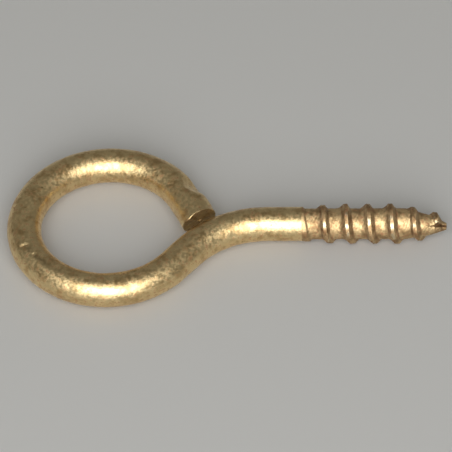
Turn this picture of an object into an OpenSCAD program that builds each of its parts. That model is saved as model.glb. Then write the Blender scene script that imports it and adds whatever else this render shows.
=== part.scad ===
// Screw eye bent from one length of round wire.
// The wire lies in the XY plane with the screw's axis along +X, point forward.
// The origin is on that axis, where the plain shank meets the thread.

/* [Wire] */
// Diameter of the plain wire
wire_d = 4; // [3.8:0.05:4.2]

/* [Eye] */
// Radius of the eye, to the middle of the wire
eye_r = 9.75; // [9.5:0.05:10.2]
// How far past the quarter turn the eye's free branch comes round
closing_angle = 62.5; // [58:0.5:64]
// Straight stretch of wire before the cut end
end_straight = 4.1; // [3.4:0.1:4.2]

/* [Cut end] */
// How much wider than the wire the sheared end is, on the radius
end_flare = 0.08; // [0:0.02:0.16]
// Rounding left by the cutter at the rim
end_chamfer = 0.2; // [0.1:0.05:0.4]
// How far the sheared face leans over, its top edge foremost
face_tilt = 12; // [0:1:15]
// Depth of the bending tool's notch on the outside of the branch
notch_depth = 0.5; // [0.1:0.02:0.54]
// Radius of the edge that pressed the notch
notch_r = 2.1; // [1.6:0.1:2.4]
// How far round the eye's bend the middle of the notch lies
notch_angle = 2.2; // [0:0.2:3]
// How far above level the notch was pressed from, on the outside
notch_tilt = 46; // [0:1:60]
// How far the metal displaced by the notch swells out beside it
bulge = 0.24; // [0.1:0.02:0.26]

/* [Neck] */
// Radius of the neck's bend, to the middle of the wire
neck_r = 11.5; // [11:0.1:12]
// Angle of the neck's bend
neck_angle = 51; // [50:0.5:52]
// Straight stretch between the neck's bend and the eye
neck_straight = 3; // [2.6:0.1:3.4]
// Plain straight shank between the neck's bend and the thread
shank_len = 4; // [2:0.5:8]

/* [Thread] */
// Distance between neighbouring ridges
pitch = 2.6; // [2.5:0.02:2.64]
// Diameter of the thread's core
root_d = 3.52; // [3.4:0.02:3.6]
// Diameter over the ridge's crest
crest_d = 4.7; // [4.5:0.05:4.9]
// Length of the parallel thread, from the shank to the start of the taper
parallel_len = 12; // [11.6:0.1:12.4]
// Width of the ridge's rounded top
crest_w = 0.3; // [0.2:0.05:0.4]
// Length of the ridge's gentle flank, on the eye's side
rear_flank = 0.95; // [0.8:0.05:1]
// Length of the ridge's steep flank, on the point's side
front_flank = 0.5; // [0.4:0.05:0.6]
// Length over which the wire steps down to the thread's core
shoulder_len = 0.35; // [0.3:0.05:0.5]
// Slant of the shoulder, which follows the first turn of the ridge
shoulder_slant = 10; // [0:1:12]
// Sideways shift between the two halves of the ridge, as flat dies leave it
die_shift = 0.29; // [0:0.01:0.3]

/* [Point] */
// Length of the tapered point
point_len = 4.7; // [4.4:0.1:5]
// How much fuller than a straight cone the point is, on the radius
point_belly = 0.15; // [0:0.01:0.18]
// Diameter of the blunt tip
tip_d = 0.84; // [0.7:0.02:1]
// How far the point leans off the screw's axis, each way
point_lean = 2.8; // [0:0.2:3]
// Width of the cleft in the point
cleft_w = 0.34; // [0.2:0.02:0.4]
// Length of the cleft, back from the tip
cleft_len = 2.3; // [1.5:0.1:2.5]

/* [Hidden] */
$fn = 96;

wire_r = wire_d / 2;
root_r = root_d / 2;
crest_r = crest_d / 2;
tip_r = tip_d / 2;

// Middle of the neck's bend, and where the bend hands over to the straight leg
neck_x = -shank_len;
neck_y = -neck_r;
leg_x = neck_x - neck_r * sin(neck_angle);
leg_y = neck_y + neck_r * cos(neck_angle);

// Where the leg meets the eye, and the eye's middle
eye_start_x = leg_x - neck_straight * cos(neck_angle);
eye_start_y = leg_y - neck_straight * sin(neck_angle);
eye_x = eye_start_x - eye_r * sin(neck_angle);
eye_y = eye_start_y + eye_r * cos(neck_angle);

// Angles round the eye, counted from +X: the free branch turns straight at end_angle,
// its last stretch of bend belongs to the cut end, and the leg joins at leg_angle
end_angle = 90 - closing_angle;
end_bend = 13;
leg_angle = 270 + neck_angle;

// Places along the screw's axis, and the fullest place of the point with its radius there
point_x = parallel_len;
tip_x = point_x + point_len;
belly_x = point_x + 0.55 * point_len;
belly_r = root_r + 0.55 * (tip_r - root_r) + point_belly;

// Middle of the slanted shoulder, far enough on for its near edge to stay on the thread
shoulder_x = 0.02 + wire_r * tan(shoulder_slant);

// Depth that the ridge and the shoulder run on into the core, so that they join without a gap
burial = 0.2;
// Turn about the axis at which the dies' shift is largest, and at which the ridge's count starts
seam_angle = 12;
ridge_angle = 42;
// Axial place of the ridge at ridge_angle in its first full turn
ridge_x = 2.16;
// The leaning point starts this much early and is trimmed flush with the thread
lean_overlap = 0.3;
rear_r = root_r + lean_overlap * (root_r - belly_r) / (belly_x - point_x);
// Turn about the axis at which the cleft lies, and its slope, steeper than the taper
cleft_angle = 132;
cleft_slope = -27;
steps_per_turn = 40;
ridge_from = -430;
ridge_to = 1990;

// Radius of the core along the axis
function core_r(x) = lookup(x, [[point_x, root_r], [belly_x, belly_r], [tip_x, tip_r]]);

// Radius of the ridge's crest along the axis: it grows out of the shoulder, keeps its height
// along the parallel thread, comes down with the taper and dies out before the tip
function ridge_r(x) = lookup(x, [
    [-0.9, root_r - 0.3],
    [0.2, wire_r],
    [2.6, crest_r - 0.1],
    [pitch * 2, crest_r],
    [point_x - 0.5, crest_r],
    [point_x + 0.2 * point_len, 0.42 * crest_d],
    [point_x + 0.7 * point_len, 0.36 * crest_d],
    [tip_x - 0.6, tip_r + 0.15],
    [tip_x, tip_r - 0.3]
]);

// Axial place of the ridge's crest at a turn counted in degrees from ridge_angle
function ridge_place(turn) =
    ridge_x + pitch * turn / 360 + die_shift * cos(turn + ridge_angle - seam_angle);

// A point at an axial place, a radius and a turn about the screw's axis
function on_axis(x, r, turn) =
    [x, r * cos(turn + ridge_angle), r * sin(turn + ridge_angle)];

// The ridge's section at one turn: buried base, rear flank, rounded crest, front flank
function ridge_section(turn) =
    let (
        x = ridge_place(turn),
        top = ridge_r(x),
        base = max(0.12, core_r(x) - burial),
        slope = (top - base) / (crest_r - root_r),
        back = crest_w / 2 + rear_flank * slope,
        front = crest_w / 2 + front_flank * slope
    )
    [
        on_axis(x - back, base, turn),
        on_axis(x - crest_w / 2, top - 0.04, turn),
        on_axis(x, top, turn),
        on_axis(x + crest_w / 2, top - 0.06, turn),
        on_axis(x + front, base, turn)
    ];

// The whole ridge, from inside the shoulder to inside the tip
module ridge() {
    turns = [ridge_from : 360 / steps_per_turn : ridge_to];
    points = [for (turn = turns) each ridge_section(turn)];
    sides = 5;
    rings = len(points) / sides;
    walls = [
        for (ring = [0 : rings - 2], side = [0 : sides - 1])
            let (
                a = ring * sides + side,
                b = ring * sides + (side + 1) % sides
            )
            each [[a, b, b + sides], [a, b + sides, a + sides]]
    ];
    first_cap = [for (side = [sides - 1 : -1 : 0]) side];
    last_cap = [for (side = [0 : sides - 1]) (rings - 1) * sides + side];
    polyhedron(points, concat(walls, [first_cap, last_cap]));
}

// A round bar or cone along +X from one axial place to another
module bar(from_x, to_x, from_r, to_r) {
    translate([from_x, 0, 0])
        rotate([0, 90, 0])
            cylinder(h = to_x - from_x, r1 = from_r, r2 = to_r);
}

// A bent stretch of wire in the XY plane, round the local origin
module bend(bend_r, from_angle, sweep) {
    rotate([0, 0, from_angle])
        rotate_extrude(angle = sweep)
            translate([bend_r, 0])
                circle(r = wire_r);
}

module eye_ring() {
    color("#8f8256")
        translate([eye_x, eye_y, 0])
            bend(eye_r, end_angle + end_bend, leg_angle - end_angle - end_bend);
}

// The swelling between the notch and the cut: a barrel beside the wire's own axis
module swelling() {
    peak = end_straight - 2;
    translate([0, bulge * cos(notch_tilt), bulge * sin(notch_tilt)])
        rotate([0, 90, 0])
            rotate_extrude()
                polygon([
                    [0, peak - 1.3],
                    [wire_r - bulge - 0.05, peak - 1.3],
                    [wire_r - 0.06, peak - 0.6],
                    [wire_r, peak],
                    [wire_r - 0.03, peak + 0.7],
                    [wire_r - 0.16, peak + 3],
                    [0, peak + 3]
                ]);
}

// The sheared end, along +X from the eye: it swells a little, and a leaning cone trims it to the
// sheared face and its bevelled rim
module end_stub() {
    swollen_r = wire_r + end_flare;
    intersection() {
        union() {
            rotate([0, 90, 0])
                rotate_extrude()
                    polygon([
                        [0, 0],
                        [wire_r, 0],
                        [wire_r, end_straight - 1.8],
                        [swollen_r, end_straight - 0.6],
                        [swollen_r, end_straight + 1],
                        [0, end_straight + 1]
                    ]);
            swelling();
        }
        translate([end_straight, 0, 0])
            rotate([0, face_tilt, 0])
                bar(-end_straight - 1, 0, swollen_r - end_chamfer + end_straight + 1,
                    swollen_r - end_chamfer);
    }
}

module cut_end() {
    color("#86774b")
        translate([eye_x, eye_y, 0])
            difference() {
                union() {
                    bend(eye_r, end_angle, end_bend);
                    rotate([0, 0, end_angle])
                        translate([eye_r, 0, 0])
                            rotate([0, 0, -90])
                                end_stub();
                }
                rotate([0, 0, end_angle + notch_angle])
                    translate([eye_r, 0, 0])
                        rotate([0, -notch_tilt, 0])
                            translate([wire_r - notch_depth + notch_r, 0, 0])
                                cylinder(h = 2 * wire_d, r = notch_r, center = true);
            }
}

module neck_leg() {
    color("#8a7f57")
        translate([leg_x, leg_y, 0])
            rotate([0, 0, neck_angle])
                bar(-neck_straight, 0, wire_r, wire_r);
}

module neck_bend() {
    color("#8f8459")
        translate([neck_x, neck_y, 0])
            bend(neck_r, 90, neck_angle);
}

module shank() {
    color("#a39a6c")
        bar(-shank_len, 0, wire_r, wire_r);
}

// The part of the ridge between two axial places
module ridge_between(from_x, to_x) {
    intersection() {
        ridge();
        bar(from_x, to_x, wire_d, wire_d);
    }
}

// The step from the wire down to the core, a slanted cone cut out of the wire
module shoulder() {
    reach = shoulder_x + wire_d;
    slope = (wire_r - root_r) / shoulder_len;
    intersection() {
        bar(0, reach, wire_r, wire_r);
        translate([shoulder_x, 0, 0])
            rotate([ridge_angle, 0, 0])
                rotate([0, 0, shoulder_slant])
                    bar(-reach, shoulder_len + burial / slope, wire_r + slope * reach,
                        root_r - burial);
    }
}

module screw_thread() {
    color("#a08a5c")
        union() {
            bar(0, point_x, root_r, root_r);
            shoulder();
            ridge_between(0, point_x);
        }
}

// The split that rolling leaves in the point: a V-shaped groove along the side of the taper
module cleft() {
    depth = 0.75 * tip_r;
    rotate([cleft_angle, 0, 0])
        translate([tip_x, core_r(tip_x) - depth, 0])
            rotate([0, 0, -cleft_slope])
                rotate([0, -90, 0])
                    translate([0, 0, -0.5])
                        linear_extrude(height = cleft_len + 0.5)
                            polygon([[0, 0], [cleft_w, 2 * depth], [-cleft_w, 2 * depth]]);
}

module gimlet_point() {
    color("#9a7f55")
        intersection() {
            translate([point_x, 0, 0])
                rotate([0, point_lean, -point_lean])
                    translate([-point_x, 0, 0])
                        difference() {
                            union() {
                                bar(point_x - lean_overlap, belly_x, rear_r, belly_r);
                                bar(belly_x, tip_x, belly_r, tip_r);
                                ridge_between(point_x - lean_overlap, tip_x);
                            }
                            cleft();
                        }
            bar(point_x, tip_x + lean_overlap, wire_d, wire_d);
        }
}

eye_ring();
cut_end();
neck_leg();
neck_bend();
shank();
screw_thread();
gimlet_point();
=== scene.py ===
import math
import bpy
import numpy as np
from mathutils import Matrix, Vector


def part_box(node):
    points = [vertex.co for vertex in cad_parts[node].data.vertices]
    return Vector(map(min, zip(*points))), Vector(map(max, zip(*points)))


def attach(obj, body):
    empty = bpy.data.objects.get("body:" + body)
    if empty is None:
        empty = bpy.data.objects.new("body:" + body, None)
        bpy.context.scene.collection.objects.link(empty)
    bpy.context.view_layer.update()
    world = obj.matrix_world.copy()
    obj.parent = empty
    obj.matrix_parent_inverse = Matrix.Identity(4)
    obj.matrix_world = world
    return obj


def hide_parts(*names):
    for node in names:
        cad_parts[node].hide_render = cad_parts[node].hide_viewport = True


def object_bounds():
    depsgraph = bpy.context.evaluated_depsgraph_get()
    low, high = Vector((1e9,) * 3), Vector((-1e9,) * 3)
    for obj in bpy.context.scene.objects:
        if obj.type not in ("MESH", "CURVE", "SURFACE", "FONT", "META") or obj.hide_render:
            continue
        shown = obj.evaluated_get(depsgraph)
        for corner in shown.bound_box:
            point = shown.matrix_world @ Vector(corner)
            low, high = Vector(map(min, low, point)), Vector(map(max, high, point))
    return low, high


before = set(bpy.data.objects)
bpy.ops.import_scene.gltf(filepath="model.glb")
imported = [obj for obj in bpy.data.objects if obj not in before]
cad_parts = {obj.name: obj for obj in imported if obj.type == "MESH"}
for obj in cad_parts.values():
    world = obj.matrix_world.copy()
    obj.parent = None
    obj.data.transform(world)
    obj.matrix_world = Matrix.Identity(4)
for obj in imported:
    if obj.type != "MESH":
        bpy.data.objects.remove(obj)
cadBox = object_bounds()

mm = 0.001
scene = bpy.context.scene
random = np.random.default_rng(11)


def boxInMm(node):
    low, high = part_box(node)
    return np.array(low) / mm, np.array(high) / mm


camera = {
    "azimuth": 4.0,  # degrees round from looking along +Y
    "elevation": 47.6,
    "roll": 3.15,  # turns the picture anticlockwise
    "distance": 1.43,  # metres: far off, so nearly without perspective
    "widthSeen": 52.25,  # millimetres across the picture at the object
    "aimOffset": (-0.08, 0.17),  # millimetres along X and Y from the middle of the object's box
    "sensor": 36.0,
    "nearest": 0.05,  # metres; nothing nearer or farther than these is drawn
    "farthest": 20.0,
}


def directionOf(azimuth, elevation):
    # unit vector from the object towards something seen at these angles
    azimuth, elevation = math.radians(azimuth), math.radians(elevation)
    return Vector((math.sin(azimuth) * math.cos(elevation),
                   -math.cos(azimuth) * math.cos(elevation), math.sin(elevation)))


def addCamera():
    back = directionOf(camera["azimuth"], camera["elevation"])
    middle = (Vector(cadBox[0]) + Vector(cadBox[1])) / 2
    offsetX, offsetY = camera["aimOffset"]
    aim = Vector((middle.x + offsetX * mm, middle.y + offsetY * mm, 0))
    data = bpy.data.cameras.new("camera")
    data.sensor_width = camera["sensor"]
    data.lens = camera["sensor"] * camera["distance"] / (camera["widthSeen"] * mm)
    data.clip_start = camera["nearest"]
    data.clip_end = camera["farthest"]
    body = bpy.data.objects.new("camera", data)
    scene.collection.objects.link(body)
    turn = (-back).to_track_quat("-Z", "Y").to_matrix().to_4x4()
    roll = Matrix.Rotation(-math.radians(camera["roll"]), 4, "Z")
    body.matrix_world = Matrix.Translation(aim + back * camera["distance"]) @ turn @ roll
    scene.camera = body


addCamera()
print("camera placed")

# One dictionary for each piece, in the order they follow along the wire. Lengths are in
# millimetres and angles in degrees; rowSpacing is the distance between rows of the surface.
# Waves are given as height, longest and shortest wave, and how many are added up.
eyeLow, eyeHigh = boxInMm("eye_ring")
shankLow, shankHigh = boxInMm("shank")
threadLow, threadHigh = boxInMm("screw_thread")
wireRadius = (eyeHigh[2] - eyeLow[2]) / 2
eyeRadius = (eyeHigh[1] - eyeLow[1]) / 2 - wireRadius
columns = 144  # points round the wire
unreached = 99  # a radius that no cut comes down to

drawnWire = {
    "room": 0.03,  # taken off the nominal radius, so that the waves stay within it
    "clearance": 0.001,
    "bendingWaves": (0.011, 7.0, 2.0, 9),
    "drawingWaves": (0.0035, 1.7, 0.6, 16),
}
cutEnd = {
    "heading": 117.5,  # direction of the wire at its cut face
    "straight": 4.1,
    "bend": 13.0,  # first stretch of the eye's curve
    "rowSpacing": 0.05,
    "swelling": 0.08,
    "swellFrom": 1.8,
    "swellTo": 0.6,
    "bulge": 0.24,  # metal pushed out of the notch, beside it
    "bulgePlace": 1.95,
    "bulgeReach": 1.15,
    "bulgeAtCut": 0.3,  # share of the bulge that is left at the cut itself
    "bulgeAtCutReach": 0.5,
    "bulgeNarrowing": 1.2,
    "faceTilt": 12.0,  # the sheared face leans over, its upper edge foremost
    "faceTiltReach": 2.6,
    "faceRows": 26,
    "faceDoming": 0.03,
    "innermostRing": 0.03,  # share of the radius
    "rimRounding": 0.2,
    "rimRoundingReach": 1.2,
    "rimRows": 7,
    "leastRolled": 0.1,  # share of the rounding where the rim is crisp
    # where the rim is rolled over: turn and reach in radians, share of the rounding
    "rolledRim": [(0.8, 0.24, 1.0), (2.8, 0.4, 0.6)],
    "tearDepth": 0.07,
    "tearEdge": (-0.25, 0.35),  # from the middle of the face, in shares of the radius
    "ledges": (0.03, 9, 3),  # height, how many across and how much they sway, in radians
    "scrapes": (0.012, 14, 2),
    "notchPlace": 4.47,
    "notchDepth": 0.5,
    "notchRadius": 2.1,
    "notchTilt": 46.0,  # above level, on the outside
    "notchRounding": 0.2,
    "notchLip": 0.012,
    "notchLipPlace": 0.06,
    "notchLipWidth": 0.09,
    # the cut face is painted darker all over: a painted shade
    "faceShade": 0.13,
}
eyeRing = {
    "sweep": 280.5,
    "rowSpacing": 0.11,
    "markedRowSpacing": 0.045,  # from this far before the first nick to the crease's end
    "markedMargin": 0.5,
}
neckLeg = {"straight": 3.0, "rowSpacing": 0.11}
neckBend = {"radius": 11.5, "angle": 51.0, "rowSpacing": 0.11}
plainShank = {
    "straight": shankHigh[0] - shankLow[0],
    "rowSpacing": 0.09,
    "evenedOver": 0.6,  # its last stretch, where the waves fade to a plain cylinder
    "evenedTo": 0.012,  # under the nominal radius
}
screwThread = {
    "length": threadHigh[0] - threadLow[0],
    "rowSpacing": 0.05,
    "pitch": 2.6,
    "rootRadius": 1.76,
    "crestRadius": 2.35,
    "crestWidth": 0.4,
    "rearFlank": 0.95,
    "frontFlank": 0.5,
    "shoulderStart": 0.02,
    "shoulder": 0.35,
    "shoulderSlant": 10.0,
    "shoulderUnder": 0.002,
    "ridgeX": 2.16,
    "ridgeAngle": 42.0,
    "dieShift": 0.29,  # the two halves of the ridge don't quite meet, as flat dies leave them
    "seamAngle": 12.0,
    "rearHollow": 1.7,  # powers that hollow each flank out towards its foot
    "frontHollow": 1.3,
    "narrowest": 0.25,  # share of the flanks' width where the ridge dies out
    "ridgeWaves": (0.035, 3.0, 0.8, 8),
    "blend": 0.05,
    "wear": 0.02,
    "leastWear": 0.01,
    "wearWaves": (1.0, 2.5, 0.5, 9),
    "roughWaves": (0.019, 1.6, 0.35, 16),
    "roughFrom": (0.2, 1.0),
    "skin": 0.01,  # taken off all over, so that the roughness stays within the size
    "standing": (0.05, 0.35),  # height from which a ridge is darkened at all, and in full
    # darkening on a flank, painted shade with some dirt: its place from the crest in shares of the
    # flank, its reach and its depth
    "rearShadeAndDirt": (0.32, 0.13, 0.7),
    "frontShadeAndDirt": (0.65, 0.12, 0.5),
    # darkening on the crest is a painted shade that dulls its highlight
    "crestShade": 0.42,
    "shadeAndDirtCover": 0.75,
    "shadeAndDirtWaves": (0.45, 3.0, 0.8, 8),
    "rubbedWaves": (1.8, 1.6, 0.7, 7),
    "rubbedFrom": 0.8,
    "rubbedShare": 0.6,
    "rubbedBehind": 0.08,
    "rubbedWidth": 0.32,
}
gimletPoint = {
    "length": 4.7,
    "rowSpacing": 0.035,
    "tipRadius": 0.42,
    "belly": 0.15,
    "bellyPlace": 0.55,
    "lean": 2.8,  # degrees down, and as much to the near side
    "leanBend": 0.8,  # the axis curves this far before and after the point begins
    "tipRounding": 0.16,
    "tipRows": 14,
    "tipDoming": 0.04,
    "innermostRing": 0.06,
    "cleftAngle": 132.0,
    "cleftFloor": 0.105,
    "cleftSlope": 25.5,
    "cleftOpening": 0.54,  # half its width over its depth
    "cleftLength": 2.3,
    "cleftRunOut": 3.0,  # slope of the floor beyond that length
    "cleftWander": 6.0,
    "cleftWaviness": 2.6,  # radians of sway for each millimetre
    "cleftEdge": 0.02,
    # darkening in the cleft, more the deeper it goes, is a painted shade
    "cleftShade": 0.5,
    "cleftShadeDepth": 0.2,
}
marks = [
    # nicks: place along the wire, turn round it, half their length across it, width, depth, slant
    {"along": 34.25, "turn": 112.0, "reach": 0.66, "width": 0.3, "depth": 0.115, "slant": 0.2},
    {"along": 35.98, "turn": 103.0, "reach": 0.22, "width": 0.2, "depth": 0.06, "slant": 0.0},
]
highlightSpots = [
    # worn spots on the ridge, painted lighter where its highlights fall (painted highlights): which
    # turn of it, and where round the screw
    {"ridge": 0, "turn": 136.0, "reach": 9.0, "shine": 0.9},
    {"ridge": 1, "turn": 140.0, "reach": 6.0, "shine": 1.0},
    {"ridge": 2, "turn": 121.0, "reach": 5.0, "shine": 0.8},
    {"ridge": 3, "turn": 141.0, "reach": 9.0, "shine": 1.0},
    {"ridge": 3, "turn": 115.0, "reach": 6.0, "shine": 0.5},
    {"ridge": 4, "turn": 137.0, "reach": 8.0, "shine": 0.5},
    {"ridge": 5, "turn": 112.0, "reach": 8.0, "shine": 0.5},
]
nickShape = {"shallowSide": 2.4, "lip": 0.02, "lipPlace": 3.0}  # sides and place in its widths
# the crease is darkened along its length as painted shade; the patch between the nicks is darkened
# too
crease = {"from": 36.0, "fadeIn": 0.3, "to": 43.0, "turn": 101.0, "drift": -0.05, "width": 0.3,
          "depth": 0.05, "shadeAndDirt": 0.6}
dullPatch = {"before": 0.75, "turn": 2.0, "length": 0.6, "width": 0.42, "shadeAndDirt": 0.4}

stretches = [  # piece, length, turn to the left, spacing of its rows
    ("cutEnd", cutEnd["straight"], 0, cutEnd["rowSpacing"]),
    ("cutEnd", math.radians(cutEnd["bend"]) * eyeRadius, cutEnd["bend"], cutEnd["rowSpacing"]),
    ("eyeRing", math.radians(eyeRing["sweep"]) * eyeRadius, eyeRing["sweep"],
     eyeRing["rowSpacing"]),
    ("neckLeg", neckLeg["straight"], 0, neckLeg["rowSpacing"]),
    ("neckBend", math.radians(neckBend["angle"]) * neckBend["radius"], -neckBend["angle"],
     neckBend["rowSpacing"]),
    ("plainShank", plainShank["straight"], 0, plainShank["rowSpacing"]),
    ("screwThread", screwThread["length"], 0, screwThread["rowSpacing"]),
    ("gimletPoint", gimletPoint["length"], 0, gimletPoint["rowSpacing"]),
]


def spreadRows(start, length, spacing):
    # even rows along a stretch, packed closer where the eye carries its marks
    evenly = np.linspace(start, start + length, 4001)
    marked = (evenly > marks[0]["along"] - eyeRing["markedMargin"]) & (evenly < crease["to"])
    step = np.where(marked, min(spacing, eyeRing["markedRowSpacing"]), spacing)
    running = np.concatenate([[0], np.cumsum((1 / step[1:] + 1 / step[:-1]) / 2 * np.diff(evenly))])
    count = int(math.ceil(running[-1]))
    return np.interp(np.arange(1, count + 1) / count * running[-1], running, evenly)


def layRows():
    # arc length of every row along the wire, and the first and last row of each piece
    rows = [np.zeros(1)]
    total, start, spans = 0, 0.0, {}
    for piece, length, _, spacing in stretches:
        more = spreadRows(start, length, spacing)
        rows.append(more)
        first = spans.get(piece, (total,))[0]
        total += len(more)
        spans[piece] = (first, total)
        start += length
    return np.concatenate(rows), spans


def layCourse(along):
    # the heading turns evenly along each bend; the centre line is the running sum of the chords
    # between rows, a chord being its arc * sin(half turn) / half turn
    knots = np.cumsum([0.0] + [stretch[1] for stretch in stretches])
    turns = np.radians(np.cumsum([cutEnd["heading"]] + [stretch[2] for stretch in stretches]))
    heading = np.interp(along, knots, turns)
    middle = (heading[1:] + heading[:-1]) / 2
    chord = np.diff(along) * np.sinc(np.diff(heading) / 2 / np.pi)
    centreX = np.concatenate([[0], np.cumsum(chord * np.cos(middle))])
    centreY = np.concatenate([[0], np.cumsum(chord * np.sin(middle))])
    return centreX, centreY, heading, knots[6]


along, spans = layRows()
centreX, centreY, heading, threadStart = layCourse(along)
originRow = spans["screwThread"][0]
centreX -= centreX[originRow]
centreY -= centreY[originRow]
s = along[:, None]
x = s - threadStart  # place along the screw's axis, 0 where the thread begins
theta = np.arange(columns)[None, :] * 2 * np.pi / columns  # from the wire's left side up and over
pointX = threadHigh[0]
tipX = pointX + gimletPoint["length"]


def smoothStep(value, low, high):
    t = np.clip((value - low) / (high - low), 0, 1)
    return t * t * (3 - 2 * t)


def smoothMax(a, b, width):
    return (a + b + np.sqrt((a - b) ** 2 + width ** 2)) / 2


def smoothMin(a, b, width):
    return (a + b - np.sqrt((a - b) ** 2 + width ** 2)) / 2


def turnFrom(degrees):
    # signed turn round the wire from an angle, in radians, between -pi and pi
    return (theta - math.radians(degrees) + np.pi) % (2 * np.pi) - np.pi


def ripple(waves):
    # sum of cosines in place along the wire and whole turns round it, with seeded phases; each
    # crest runs a little aslant
    height, longest, shortest, count = waves
    total = np.zeros((len(along), columns))
    lengths = np.geomspace(longest, shortest, count)
    most = np.maximum(1, 2 * np.pi * wireRadius / lengths).astype(int)
    for length, turnsRound in zip(lengths, most):
        lobes = random.integers(0, turnsRound + 1)
        phase, cross = random.uniform(0, 2 * np.pi, 2)
        lengthwise = 2 * np.pi * s / (length * random.uniform(0.8, 1.3))
        crosswise = lobes * theta + cross + 0.3 * lengthwise
        total = total + np.cos(lengthwise + phase) * np.cos(crosswise)
    return height * (total / math.sqrt(count))


def plainWire():
    # round wire, a few hundredths under size in soft waves left by drawing and bending
    waves = ripple(drawnWire["bendingWaves"]) + ripple(drawnWire["drawingWaves"])
    room = drawnWire["room"]
    return wireRadius - room + np.clip(waves, -room, room - drawnWire["clearance"])


def swollenEnd(radius):
    # the radius grows towards the cut, most of all in a hump beside the notch: height * bell
    # along the wire * cosine round it. The notch is the wire's section cut by a cylinder lying
    # across it, with a low lip pushed up round the cut.
    grown = cutEnd["swelling"] * (1 - smoothStep(s, cutEnd["swellTo"], cutEnd["swellFrom"]))
    facing = np.cos(turnFrom(180 - cutEnd["notchTilt"]))
    hump = np.exp(-np.abs((s - cutEnd["bulgePlace"]) / cutEnd["bulgeReach"]) ** 3)
    near = np.exp(-(s / cutEnd["bulgeAtCutReach"]) ** 2) * cutEnd["bulgeAtCut"]
    outward = np.clip(facing, 0, 1) ** cutEnd["bulgeNarrowing"]
    radius = radius + grown + cutEnd["bulge"] * np.maximum(hump, near) * outward
    away = s - cutEnd["notchPlace"]
    depth = np.sqrt(np.maximum(cutEnd["notchRadius"] ** 2 - away ** 2, 0.01))
    floor = wireRadius - cutEnd["notchDepth"] + cutEnd["notchRadius"] - depth
    limit = np.where(facing > 0.05, floor / np.maximum(facing, 0.05), unreached)
    limit = np.where(np.abs(away) < cutEnd["notchRadius"], limit, unreached)
    outside = limit - radius - cutEnd["notchLipPlace"]
    lip = cutEnd["notchLip"] * np.exp(-(outside / cutEnd["notchLipWidth"]) ** 2)
    return smoothMin(radius + lip, limit, cutEnd["notchRounding"])


def markedWire(radius):
    # each nick is a slanted V across the wire: steep on one side, shallow on the other, fading
    # towards its ends, with a little metal pushed up beyond the shallow side. The crease is a
    # groove along the wire, a bell in section, that fades away towards its far end.
    for mark in marks:
        across = turnFrom(mark["turn"]) * wireRadius
        lengthwise = s - mark["along"] + mark["slant"] * across
        fade = np.exp(-(across / mark["reach"]) ** 4)
        near = np.clip(1 + lengthwise / mark["width"], 0, 1) * (lengthwise <= 0)
        far = np.clip(1 - lengthwise / (nickShape["shallowSide"] * mark["width"]), 0, 1)
        far = far * (lengthwise > 0)
        beyond = lengthwise - nickShape["lipPlace"] * mark["width"]
        lip = nickShape["lip"] * np.exp(-(beyond / mark["width"]) ** 2)
        radius = radius - fade * (mark["depth"] * (near + far) - lip)
    inside = smoothStep(s, crease["from"], crease["from"] + crease["fadeIn"])
    inside = inside * (1 - np.clip((s - crease["from"]) / (crease["to"] - crease["from"]), 0, 1))
    across = turnFrom(crease["turn"]) * wireRadius - crease["drift"] * (s - crease["from"])
    line = inside * np.exp(-(across / crease["width"]) ** 2)
    # painted shade lies in the crease, and a darker, dull patch lies between the two nicks
    beside = turnFrom(marks[1]["turn"] + dullPatch["turn"]) * wireRadius
    before = s - marks[1]["along"] + dullPatch["before"]
    patch = np.exp(-(before / dullPatch["length"]) ** 2 - (beside / dullPatch["width"]) ** 2)
    shadeAndDirt = np.clip(crease["shadeAndDirt"] * line + dullPatch["shadeAndDirt"] * patch, 0, 1)
    return radius - crease["depth"] * line, shadeAndDirt


def ridgeTop(place):
    # crest radius along the axis: it grows out of the shoulder, holds, follows the taper and
    # dies out before the tip
    crest, tip = screwThread["crestRadius"], gimletPoint["tipRadius"]
    pitch, length = screwThread["pitch"], gimletPoint["length"]
    outline = [
        (-0.9, screwThread["rootRadius"] - 0.3),
        (0.2, wireRadius),
        (pitch, crest - 0.1),
        (2 * pitch, crest),
        (pointX - 0.5, crest),
        (pointX + 0.2 * length, 0.84 * crest),
        (pointX + 0.7 * length, 0.72 * crest),
        (tipX - 0.6, tip + 0.15),
        (tipX, tip - 0.3),
    ]
    return np.interp(place, *zip(*outline))


def ridgeShadeAndHighlights(apart, count, rearWidth, frontWidth, tall):
    # painted shade with some dirt lies on the steep part of each flank, each a bell in the distance
    # from its place;
    # the crest is painted darker to dull its highlight, a painted shade, but lighter in patches and
    # in the spots listed above, which are painted highlights on rubbed places
    edge = screwThread["crestWidth"] / 2
    place, reach, depth = screwThread["rearShadeAndDirt"]
    rear = depth * np.exp(-((-apart - edge - place * rearWidth) / reach) ** 2)
    place, reach, depth = screwThread["frontShadeAndDirt"]
    front = depth * np.exp(-((apart - edge - place * frontWidth) / reach) ** 2)
    standing = smoothStep(tall, *screwThread["standing"])
    cover = np.clip(screwThread["shadeAndDirtCover"] + ripple(screwThread["shadeAndDirtWaves"]), 0, 1)
    darkening = (rear + front) * standing * cover
    patches = np.clip(ripple(screwThread["rubbedWaves"]) - screwThread["rubbedFrom"], 0, 1)
    patches = screwThread["rubbedShare"] * patches
    for rub in highlightSpots:
        spot = np.exp(-(turnFrom(rub["turn"]) / math.radians(rub["reach"])) ** 2)
        patches = np.maximum(patches, rub["shine"] * spot * (np.round(count) == rub["ridge"]))
    fromRubbed = (apart + screwThread["rubbedBehind"]) / screwThread["rubbedWidth"]
    onCrest = np.exp(-fromRubbed ** 2) * standing
    darkening = np.maximum(darkening, screwThread["crestShade"] * onCrest * (1 - patches))
    return darkening, onCrest * patches


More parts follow.
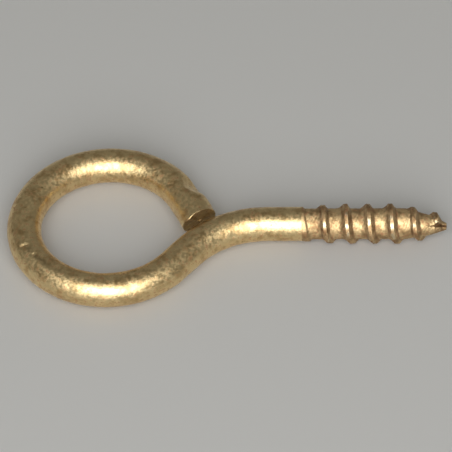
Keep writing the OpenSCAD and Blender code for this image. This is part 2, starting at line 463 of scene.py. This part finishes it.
def cutCleft(radius, darkening):
    # a V that sways a little and whose floor climbs back from the tip; inside it the radius is
    # floor / (cos turn - sin turn / opening), and it is painted darker the deeper it goes, a
    # painted shade
    behind = tipX - x
    floor = gimletPoint["cleftFloor"] + math.tan(math.radians(gimletPoint["cleftSlope"])) * behind
    beyond = np.clip(behind - gimletPoint["cleftLength"], 0, None)
    floor = floor + gimletPoint["cleftRunOut"] * beyond
    wander = gimletPoint["cleftWander"] * np.sin(gimletPoint["cleftWaviness"] * behind)
    aside = turnFrom(gimletPoint["cleftAngle"]) + np.radians(wander)
    opening = np.cos(aside) - np.abs(np.sin(aside)) / gimletPoint["cleftOpening"]
    limit = np.where(opening > 0.02, floor / np.maximum(opening, 0.02), unreached)
    edge = gimletPoint["cleftEdge"]
    inside = smoothStep(radius - limit, -edge, gimletPoint["cleftShadeDepth"])
    darkening = np.maximum(darkening, gimletPoint["cleftShade"] * inside)
    return smoothMin(radius, np.minimum(limit, radius + 1), edge), darkening


def threadedWire():
    # core: the wire as far as a slanted shoulder, then a cylinder, then a full-bellied taper
    root = screwThread["rootRadius"]
    tip = gimletPoint["tipRadius"]
    bellyX = pointX + gimletPoint["bellyPlace"] * gimletPoint["length"]
    bellyRadius = root + gimletPoint["bellyPlace"] * (tip - root) + gimletPoint["belly"]
    taper = np.interp(x, [pointX, bellyX, tipX], [root, bellyRadius, tip])
    slant = wireRadius * math.tan(math.radians(screwThread["shoulderSlant"]))
    step = slant * np.cos(turnFrom(screwThread["ridgeAngle"]))
    step = screwThread["shoulderStart"] + slant - step
    down = smoothStep(x, step, step + screwThread["shoulder"])
    core = taper + (wireRadius - screwThread["shoulderUnder"] - root) * (1 - down)
    # ridge: how far a place is along the axis from the nearest crest of the helix, whose two
    # halves are shifted. Beyond the crest's flat each flank drops steeply and runs out gently:
    # height * (1 - distance from the flat / width of the flank) to the flank's hollow power
    shift = screwThread["dieShift"] * np.cos(turnFrom(screwThread["seamAngle"]))
    turn = (theta - math.radians(screwThread["ridgeAngle"])) / (2 * np.pi)
    drift = ripple(screwThread["ridgeWaves"])
    count = (x - screwThread["ridgeX"] - shift + drift) / screwThread["pitch"] - turn
    apart = (count - np.round(count)) * screwThread["pitch"]
    height = screwThread["crestRadius"] - root
    edge = screwThread["crestWidth"] / 2
    worn = np.clip(1 + ripple(screwThread["wearWaves"]), 0, 2)
    worn = screwThread["leastWear"] + screwThread["wear"] * worn
    tall = np.maximum(ridgeTop(x - apart) - worn - taper, 0)
    narrowest = screwThread["narrowest"]
    spread = narrowest + (1 - narrowest) * tall / height
    rearWidth = screwThread["rearFlank"] * spread
    frontWidth = screwThread["frontFlank"] * spread
    rear = (1 - np.clip((-apart - edge) / rearWidth, 0, 1)) ** screwThread["rearHollow"]
    front = (1 - np.clip((apart - edge) / frontWidth, 0, 1)) ** screwThread["frontHollow"]
    ridge = taper + tall * rear * front
    rough = ripple(screwThread["roughWaves"]) * smoothStep(x, *screwThread["roughFrom"])
    darkening, rubbedAndHighlit = ridgeShadeAndHighlights(apart, count, rearWidth, frontWidth, tall)
    radius = smoothMax(core, ridge, screwThread["blend"]) + rough - screwThread["skin"]
    radius, darkening = cutCleft(radius, darkening)
    return radius, darkening, rubbedAndHighlit


radius, wireShadeAndDirt = markedWire(swollenEnd(plainWire()))
threaded, shadeAndDirt, rubbedAndHighlit = threadedWire()
evened = smoothStep(x, -plainShank["evenedOver"], 0.0)
radius = radius * (1 - evened) + (wireRadius - plainShank["evenedTo"]) * evened
radius = np.where(x > 0, threaded, radius)
print("wire, marks and thread worked out")


def leanPoint():
    # the axis starts to curve just before the point and then runs straight at the lean's slope
    slope = math.tan(math.radians(gimletPoint["lean"]))
    begin, full = pointX - gimletPoint["leanBend"], pointX + gimletPoint["leanBend"]
    place = x[:, 0]
    curved = np.clip(place - begin, 0, None) ** 2 / (2 * (full - begin))
    return slope * np.where(place < full, curved, place - (begin + full) / 2)


def closeEnds():
    # rows added beyond both ends: a quarter-round rim, then rings shrinking to the middle. Each
    # row has a place on the course, a radius for each column and a shift along the wire.
    rolled = sum(share * np.exp(-((theta[0] - turn) / reach) ** 2)
                 for turn, reach, share in cutEnd["rolledRim"])
    crisp = cutEnd["leastRolled"]
    rim = cutEnd["rimRounding"] * (crisp + (1 - crisp) * np.clip(rolled, 0, 1))
    quarter = np.linspace(0, np.pi / 2, cutEnd["rimRows"])[1:]
    inward = np.linspace(1, cutEnd["innermostRing"], cutEnd["faceRows"])[1:]
    edge = radius[0]
    rimRadius = [edge - rim * (1 - math.cos(a)) for a in quarter]
    rimShift = [-rim * math.sin(a) for a in quarter]
    faceRadius = [(edge - rim) * f for f in inward]
    # torn lower half of the shear: shallow ledges running across, deeper away from the rim, and
    # fine scrapes running down; both are waves in the height and width on the face
    ledgeHeight, ledges, ledgeSway = cutEnd["ledges"]
    scrapeHeight, scrapes, scrapeSway = cutEnd["scrapes"]
    faceShift = []
    for f in inward:
        across, upward = f * np.cos(theta[0]), f * np.sin(theta[0])
        tear = smoothStep(-upward, *cutEnd["tearEdge"]) * (1 - f ** 4)
        ledge = ledgeHeight * np.sin(ledges * upward + ledgeSway * across)
        scrape = scrapeHeight * np.cos(scrapes * across + scrapeSway * upward) * (1 - f ** 6)
        doming = cutEnd["faceDoming"] * (1 - f ** 2)
        faceShift.append(-rim + (cutEnd["tearDepth"] + ledge) * tear + scrape + doming)
    startRadius = np.array((rimRadius + faceRadius)[::-1])
    startShift = np.array((rimShift + faceShift)[::-1])
    rounding = gimletPoint["tipRounding"]
    quarter = np.linspace(0, np.pi / 2, gimletPoint["tipRows"] // 2 + 1)[1:]
    inward = np.linspace(1, gimletPoint["innermostRing"], gimletPoint["tipRows"] // 2)[1:]
    last = radius[-1]
    inset = rounding * last / last.max()
    endRadius = np.array([last - inset * (1 - math.cos(a)) for a in quarter]
                         + [(last - inset) * f for f in inward])
    endShift = np.array([np.full(columns, rounding * (math.sin(a) - 1)) for a in quarter]
                        + [np.full(columns, -gimletPoint["tipDoming"] * (1 - f ** 2))
                           for f in inward])
    return startRadius, startShift, endRadius, endShift


def buildSurface():
    # point = centre + radius * (cos turn * left + sin turn * up) + shift * heading
    startRadius, startShift, endRadius, endShift = closeEnds()
    before, after = len(startRadius), len(endRadius)
    place = np.concatenate([np.zeros(before), along, np.full(after, along[-1])])
    fullRadius = np.concatenate([startRadius, radius, endRadius])
    lean = leanPoint()
    middleX, middleY, middleZ, facing = (
        np.concatenate([np.full(before, v[0]), v, np.full(after, v[-1])])[:, None]
        for v in (centreX, centreY - lean, -lean, heading))
    # the wall is set back to leave room for the rims, which come out level with the CAD's ends
    fade = 1 - smoothStep(along, 0, cutEnd["rimRoundingReach"])
    endFade = smoothStep(along, along[-1] - 1.0, along[-1])
    wallShift = (cutEnd["rimRounding"] * fade - gimletPoint["tipRounding"] * endFade)[:, None]
    tilt = math.tan(math.radians(cutEnd["faceTilt"]))
    tilted = np.clip(1 - along / cutEnd["faceTiltReach"], 0, 1) ** 2
    tiltFade = np.concatenate([np.ones(before), tilted, np.zeros(after)])
    shift = np.concatenate([startShift + cutEnd["rimRounding"], wallShift + 0 * radius, endShift])
    shift = shift - tilt * tiltFade[:, None] * fullRadius * np.sin(theta)
    side = fullRadius * np.cos(theta)
    upward = fullRadius * np.sin(theta)
    points = np.stack([middleX - side * np.sin(facing) + shift * np.cos(facing),
                       middleY + side * np.cos(facing) + shift * np.sin(facing),
                       middleZ + upward], axis=-1)
    # the same points as if the wire lay straight, for patterns that follow it
    laid = np.stack([place[:, None] + shift, side, upward], axis=-1)
    return points, laid, before


points, laid, rowsBefore = buildSurface()


def padRows(values, rowsAfter):
    # a value for every row of the surface, carried on over the rows that close its ends
    return np.concatenate([np.repeat(values[:1], rowsBefore, axis=0), values,
                           np.repeat(values[-1:], rowsAfter, axis=0)])


# darkening on each row: painted shade with some dirt on the thread, painted shade along the crease
shadeAndDirt = padRows(np.where(x > 0, shadeAndDirt, wireShadeAndDirt), len(points) - rowsBefore - len(along))
# the cut face is darkened all over: a painted shade
shadeAndDirt[:rowsBefore - cutEnd["rimRows"] + 1] = cutEnd["faceShade"]
# lighter crest spots: painted highlights on rubbed places
rubbedAndHighlit = padRows(rubbedAndHighlit * (x > 0), len(points) - rowsBefore - len(along))


def surfaceNormals(points):
    # cross product of the steps round the wire and along it
    roundStep = np.roll(points, -1, axis=1) - np.roll(points, 1, axis=1)
    alongStep = np.gradient(points, axis=0)
    normal = np.cross(roundStep, alongStep)
    return normal / np.maximum(np.linalg.norm(normal, axis=-1, keepdims=True), 1e-12)


normals = surfaceNormals(points)


def makePiece(name, node, fromRow, toRow, material):
    # the rows between two places as a wall of quads, closed at each end by a fan of triangles
    grid = points[fromRow:toRow + 1]
    rows = len(grid)
    poles = np.stack([grid[0].mean(axis=0), grid[-1].mean(axis=0)])
    vertices = np.concatenate([grid.reshape(-1, 3), poles])
    row, column = np.meshgrid(np.arange(rows - 1), np.arange(columns), indexing="ij")
    beside = (column + 1) % columns
    quads = np.stack([row * columns + column, row * columns + beside,
                      (row + 1) * columns + beside, (row + 1) * columns + column], axis=-1)
    quads = quads.reshape(-1, 4)
    ring = np.arange(columns)
    nextRing = (ring + 1) % columns
    last = (rows - 1) * columns
    startFan = np.stack([np.full(columns, rows * columns), nextRing, ring], axis=-1)
    endFan = np.stack([np.full(columns, rows * columns + 1), last + ring, last + nextRing], axis=-1)
    mesh = bpy.data.meshes.new(name)
    mesh.from_pydata((vertices * mm).tolist(), [],
                     quads.tolist() + startFan.tolist() + endFan.tolist())
    mesh.polygons.foreach_set("use_smooth", np.ones(len(mesh.polygons), dtype=bool))
    # walls keep the normals of the whole wire, so that neighbouring pieces shade as one surface
    startFlat = np.cross(grid[0, 1] - poles[0], grid[0, 0] - poles[0])
    endFlat = np.cross(grid[-1, 0] - poles[1], grid[-1, 1] - poles[1])
    flat = normals[fromRow:toRow + 1].reshape(-1, 3)
    loopNormals = np.concatenate([
        flat[quads.reshape(-1)],
        np.tile(startFlat / np.linalg.norm(startFlat), (3 * columns, 1)),
        np.tile(endFlat / np.linalg.norm(endFlat), (3 * columns, 1)),
    ])
    mesh.normals_split_custom_set(loopNormals.tolist())
    course = np.concatenate([laid[fromRow:toRow + 1].reshape(-1, 3),
                             laid[fromRow:fromRow + 1, 0] * [1, 0, 0],
                             laid[toRow:toRow + 1, 0] * [1, 0, 0]])
    layer = mesh.attributes.new("alongWire", "FLOAT_VECTOR", "POINT")
    layer.data.foreach_set("vector", (course * mm).astype(np.float32).reshape(-1))
    for layerName, values in (("shadeAndDirt", shadeAndDirt), ("rubbedAndHighlit", rubbedAndHighlit)):
        layer = mesh.attributes.new(layerName, "FLOAT", "POINT")
        wall = values[fromRow:toRow + 1]
        ends = [wall[0].mean(), wall[-1].mean()]
        layer.data.foreach_set("value", np.append(wall, ends).astype(np.float32))
    mesh.materials.append(material)
    mesh.update()
    piece = bpy.data.objects.new(name, mesh)
    scene.collection.objects.link(piece)
    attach(piece, "root")
    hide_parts(node)
    print("made", name, "with", 2 * len(quads) + 2 * columns, "triangles")


def linear(hexColour):
    parts = [int(hexColour[i:i + 2], 16) / 255 for i in (1, 3, 5)]
    return tuple(p / 12.92 if p <= 0.04045 else ((p + 0.055) / 1.055) ** 2.4 for p in parts) + (1,)


def addNode(tree, kind, settings=None, inputs=None):
    node = tree.nodes.new(kind)
    for key, value in (settings or {}).items():
        setattr(node, key, value)
    for key, value in (inputs or {}).items():
        if isinstance(value, bpy.types.NodeSocket):
            tree.links.new(value, node.inputs[key])
        else:
            node.inputs[key].default_value = value
    return node


def newMaterial(name):
    material = bpy.data.materials.new(name)
    material.use_nodes = True
    material.node_tree.nodes.clear()
    return material, material.node_tree


def perMillimetre(count):
    # a noise scale that repeats this many times in a millimetre, for coordinates in metres
    return count / mm


# Brass plated on drawn steel wire: a warm yellow metal, bright where it was bent smooth and
# clouded where it has been handled, with faint lines along the wire, specks, and a few pits.
platedWire = {
    "brass": "#ebd19c",
    "tarnished": "#cbac79",
    "ruddy": "#c99b72",
    "pit": "#b39668",
    # colour of the darkening: painted shade in the crease and on the cut face, and a darker patch
    "shadeAndDirt": "#5c4426",
    "metallic": 1.0,
    "roughness": (0.29, 0.44),
    "cloudsPerMm": 0.9,
    "cloudDetail": (5.0, 0.62),  # detail and roughness of the noise
    "specksPerMm": 2.8,
    "speckDetail": (1.0, 0.5),
    "speckSpread": (0.34, 0.66),
    "linesPerMm": 5.0,
    "lineDetail": (3.0, 0.6),
    "lineStretch": 0.06,
    "pitsPerMm": 0.5,
    "pitEdge": (0.03, 0.1),  # shares of the spacing
    "tarnishSpread": (0.43, 0.66),
    "ruddySpread": (0.56, 0.72),
    "ruddyShare": 0.7,
    "lineBump": (0.35, 0.02),  # strength, and depth in millimetres
    "grainBump": (0.6, 0.03),
    "pitBump": (0.2, 0.02),
}


def brassPlatedWire():
    material, tree = newMaterial("brassPlatedDrawnSteelWire")
    course = addNode(tree, "ShaderNodeAttribute", {"attribute_name": "alongWire"})
    position = course.outputs["Vector"]
    detail, coarseness = platedWire["cloudDetail"]
    clouds = addNode(tree, "ShaderNodeTexNoise", {}, {
        "Vector": position, "Scale": perMillimetre(platedWire["cloudsPerMm"]), "Detail": detail,
        "Roughness": coarseness})
    detail, coarseness = platedWire["speckDetail"]
    specks = addNode(tree, "ShaderNodeTexNoise", {}, {
        "Vector": position, "Scale": perMillimetre(platedWire["specksPerMm"]), "Detail": detail,
        "Roughness": coarseness})
    stretched = addNode(tree, "ShaderNodeMapping", {}, {
        "Vector": position, "Scale": (platedWire["lineStretch"], 1, 1)})
    detail, coarseness = platedWire["lineDetail"]
    lines = addNode(tree, "ShaderNodeTexNoise", {}, {
        "Vector": stretched.outputs["Vector"], "Scale": perMillimetre(platedWire["linesPerMm"]),
        "Detail": detail, "Roughness": coarseness})
    cells = addNode(tree, "ShaderNodeTexVoronoi", {}, {
        "Vector": position, "Scale": perMillimetre(platedWire["pitsPerMm"])})
    low, high = platedWire["pitEdge"]
    pits = addNode(tree, "ShaderNodeMapRange", {"interpolation_type": "SMOOTHSTEP"}, {
        "Value": cells.outputs["Distance"], "From Min": low, "From Max": high,
        "To Min": 1.0, "To Max": 0.0})
    low, high = platedWire["tarnishSpread"]
    tarnish = addNode(tree, "ShaderNodeMapRange", {"interpolation_type": "SMOOTHSTEP"}, {
        "Value": clouds.outputs["Fac"], "From Min": low, "From Max": high})
    low, high = platedWire["ruddySpread"]
    ruddy = addNode(tree, "ShaderNodeMapRange", {"interpolation_type": "SMOOTHSTEP"}, {
        "Value": specks.outputs["Fac"], "From Min": low, "From Max": high,
        "To Max": platedWire["ruddyShare"]})
    worn = addNode(tree, "ShaderNodeMix", {"data_type": "RGBA"}, {
        "Factor": tarnish.outputs["Result"], "A": linear(platedWire["brass"]),
        "B": linear(platedWire["tarnished"])})
    speckled = addNode(tree, "ShaderNodeMix", {"data_type": "RGBA"}, {
        "Factor": ruddy.outputs["Result"], "A": worn.outputs["Result"],
        "B": linear(platedWire["ruddy"])})
    pitted = addNode(tree, "ShaderNodeMix", {"data_type": "RGBA"}, {
        "Factor": pits.outputs["Result"], "A": speckled.outputs["Result"],
        "B": linear(platedWire["pit"])})
    # darkening: painted shade along the crease and on the cut face, and a darker patch between the
    # nicks
    corners = addNode(tree, "ShaderNodeAttribute", {"attribute_name": "shadeAndDirt"})
    darkened = addNode(tree, "ShaderNodeMix", {"data_type": "RGBA"}, {
        "Factor": corners.outputs["Fac"], "A": pitted.outputs["Result"],
        "B": linear(platedWire["shadeAndDirt"])})
    # smooth and rough specks side by side: a crisp highlight with a mottled glow round it
    low, high = platedWire["speckSpread"]
    smooth, rough = platedWire["roughness"]
    roughness = addNode(tree, "ShaderNodeMapRange", {"interpolation_type": "SMOOTHSTEP"}, {
        "Value": specks.outputs["Fac"], "From Min": low, "From Max": high, "To Min": smooth,
        "To Max": rough})
    strength, depth = platedWire["lineBump"]
    drawn = addNode(tree, "ShaderNodeBump", {}, {
        "Height": lines.outputs["Fac"], "Strength": strength, "Distance": depth * mm})
    strength, depth = platedWire["grainBump"]
    grained = addNode(tree, "ShaderNodeBump", {}, {
        "Height": specks.outputs["Fac"], "Strength": strength, "Distance": depth * mm,
        "Normal": drawn.outputs["Normal"]})
    strength, depth = platedWire["pitBump"]
    dented = addNode(tree, "ShaderNodeBump", {"invert": True}, {
        "Height": pits.outputs["Result"], "Strength": strength, "Distance": depth * mm,
        "Normal": grained.outputs["Normal"]})
    shader = addNode(tree, "ShaderNodeBsdfPrincipled", {}, {
        "Base Color": darkened.outputs["Result"], "Metallic": platedWire["metallic"],
        "Roughness": roughness.outputs["Result"], "Normal": dented.outputs["Normal"]})
    addNode(tree, "ShaderNodeOutputMaterial", {}, {"Surface": shader.outputs["BSDF"]})
    return material


# The same plating over a rolled thread: satin and scaly between the ridges, painted lighter in
# spots on their crests, painted highlights on rubbed places; brown on their flanks with painted
# shade and some dirt, and with painted shade in the cleft and on the rest of their crests.
rolledThread = {
    "brass": "#cab084",
    "tarnished": "#9a805b",
    "ruddy": "#a77c5c",
    # colour of the darkening: painted shade with some dirt on the flanks, painted shade on the
    # crests and in the cleft
    "shadeAndDirt": "#6e4730",
    # lighter colour of the rubbed crest spots: painted highlights
    "rubbedAndHighlit": "#f6e6c0",
    "metallic": 1.0,
    "roughness": (0.48, 0.72),
    "rubbedRoughness": 0.2,
    "cloudsPerMm": 0.9,
    "cloudDetail": (5.0, 0.62),
    "scalesPerMm": 2.4,
    "scaleDetail": (3.0, 0.6),
    "scaleSpread": (0.35, 0.65),
    "tarnishSpread": (0.4, 0.64),
    "ruddySpread": (0.52, 0.7),
    "ruddyShare": 0.8,
    "scaleBump": (0.8, 0.06),
}


def platedRolledThread():
    material, tree = newMaterial("brassPlatedRolledThread")
    course = addNode(tree, "ShaderNodeAttribute", {"attribute_name": "alongWire"})
    position = course.outputs["Vector"]
    detail, coarseness = rolledThread["cloudDetail"]
    clouds = addNode(tree, "ShaderNodeTexNoise", {}, {
        "Vector": position, "Scale": perMillimetre(rolledThread["cloudsPerMm"]), "Detail": detail,
        "Roughness": coarseness})
    detail, coarseness = rolledThread["scaleDetail"]
    scales = addNode(tree, "ShaderNodeTexNoise", {}, {
        "Vector": position, "Scale": perMillimetre(rolledThread["scalesPerMm"]), "Detail": detail,
        "Roughness": coarseness})
    low, high = rolledThread["tarnishSpread"]
    tarnish = addNode(tree, "ShaderNodeMapRange", {"interpolation_type": "SMOOTHSTEP"}, {
        "Value": clouds.outputs["Fac"], "From Min": low, "From Max": high})
    low, high = rolledThread["ruddySpread"]
    ruddy = addNode(tree, "ShaderNodeMapRange", {"interpolation_type": "SMOOTHSTEP"}, {
        "Value": scales.outputs["Fac"], "From Min": low, "From Max": high,
        "To Max": rolledThread["ruddyShare"]})
    worn = addNode(tree, "ShaderNodeMix", {"data_type": "RGBA"}, {
        "Factor": tarnish.outputs["Result"], "A": linear(rolledThread["brass"]),
        "B": linear(rolledThread["tarnished"])})
    speckled = addNode(tree, "ShaderNodeMix", {"data_type": "RGBA"}, {
        "Factor": ruddy.outputs["Result"], "A": worn.outputs["Result"],
        "B": linear(rolledThread["ruddy"])})
    # rubbed crest spots painted lighter: painted highlights
    crests = addNode(tree, "ShaderNodeAttribute", {"attribute_name": "rubbedAndHighlit"})
    brightened = addNode(tree, "ShaderNodeMix", {"data_type": "RGBA"}, {
        "Factor": crests.outputs["Fac"], "A": speckled.outputs["Result"],
        "B": linear(rolledThread["rubbedAndHighlit"])})
    # painted shade with some dirt on the flanks, painted shade on the crests and in the cleft
    corners = addNode(tree, "ShaderNodeAttribute", {"attribute_name": "shadeAndDirt"})
    darkened = addNode(tree, "ShaderNodeMix", {"data_type": "RGBA"}, {
        "Factor": corners.outputs["Fac"], "A": brightened.outputs["Result"],
        "B": linear(rolledThread["shadeAndDirt"])})
    low, high = rolledThread["scaleSpread"]
    smooth, rough = rolledThread["roughness"]
    roughness = addNode(tree, "ShaderNodeMapRange", {}, {
        "Value": scales.outputs["Fac"], "From Min": low, "From Max": high, "To Min": smooth,
        "To Max": rough})
    smoothed = addNode(tree, "ShaderNodeMapRange", {}, {
        "Value": crests.outputs["Fac"], "To Min": roughness.outputs["Result"],
        "To Max": rolledThread["rubbedRoughness"]})
    strength, depth = rolledThread["scaleBump"]
    scaly = addNode(tree, "ShaderNodeBump", {}, {
        "Height": scales.outputs["Fac"], "Strength": strength, "Distance": depth * mm})
    shader = addNode(tree, "ShaderNodeBsdfPrincipled", {}, {
        "Base Color": darkened.outputs["Result"], "Metallic": rolledThread["metallic"],
        "Roughness": smoothed.outputs["Result"], "Normal": scaly.outputs["Normal"]})
    addNode(tree, "ShaderNodeOutputMaterial", {}, {"Surface": shader.outputs["BSDF"]})
    return material


plated = brassPlatedWire()
rolled = platedRolledThread()
nodeNames = {"cutEnd": "cut_end", "eyeRing": "eye_ring", "neckLeg": "neck_leg",
             "neckBend": "neck_bend", "plainShank": "shank", "screwThread": "screw_thread",
             "gimletPoint": "gimlet_point"}
for name, node in nodeNames.items():
    fromRow, toRow = (row + rowsBefore for row in spans[name])
    if name == "cutEnd":
        fromRow = 0
    if name == "gimletPoint":
        toRow = len(points) - 1
    threadedPiece = name in ("screwThread", "gimletPoint")
    makePiece(name, node, fromRow, toRow, rolled if threadedPiece else plated)

studio = {
    "floorSize": 4.0,  # metres, as are the key's distance and size
    "floorColour": "#ebebe9",
    "floorRoughness": 0.9,
    "keyAzimuth": -1.0,
    "keyElevation": 39.0,
    "keyDistance": 0.6,
    "keySize": 0.56,
    "keyPower": 2.2,
    "keyBounces": 12,
    "glintPower": 7.0,  # seen only in the metal, so the floor stays even
    "glintBounces": 0,  # and not again in its reflections of itself
    "world": "#fffcf2",
    "worldStrength": 0.165,
}


def addFloor():
    half = studio["floorSize"] / 2
    level = cadBox[0][2]
    mesh = bpy.data.meshes.new("floor")
    mesh.from_pydata([(-half, -half, level), (half, -half, level), (half, half, level),
                      (-half, half, level)], [], [(0, 1, 2, 3)])
    floor = bpy.data.objects.new("floor", mesh)
    scene.collection.objects.link(floor)
    material, tree = newMaterial("paleMattCard")
    shader = addNode(tree, "ShaderNodeBsdfPrincipled", {}, {
        "Base Color": linear(studio["floorColour"]), "Roughness": studio["floorRoughness"]})
    addNode(tree, "ShaderNodeOutputMaterial", {}, {"Surface": shader.outputs["BSDF"]})
    mesh.materials.append(material)


def addSoftbox(name, power, onFloor, bounces):
    # a square light on the key's stand; its power is in watts
    back = directionOf(studio["keyAzimuth"], studio["keyElevation"])
    data = bpy.data.lights.new(name, "AREA")
    data.shape = "SQUARE"
    data.size = studio["keySize"]
    data.energy = power
    light = bpy.data.objects.new(name, data)
    scene.collection.objects.link(light)
    light.location = back * studio["keyDistance"]
    light.rotation_mode = "QUATERNION"
    light.rotation_quaternion = (-back).to_track_quat("-Z", "Y")
    light.visible_camera = False
    light.visible_diffuse = onFloor
    data.cycles.max_bounces = bounces


def addLights():
    addSoftbox("keyLight", studio["keyPower"], True, studio["keyBounces"])
    addSoftbox("glintLight", studio["glintPower"], False, studio["glintBounces"])
    world = bpy.data.worlds.new("studio")
    world.use_nodes = True
    background = world.node_tree.nodes["Background"]
    background.inputs["Color"].default_value = linear(studio["world"])
    background.inputs["Strength"].default_value = studio["worldStrength"]
    scene.world = world


addFloor()
addLights()
scene.view_settings.view_transform = "Standard"
print("floor and light placed")
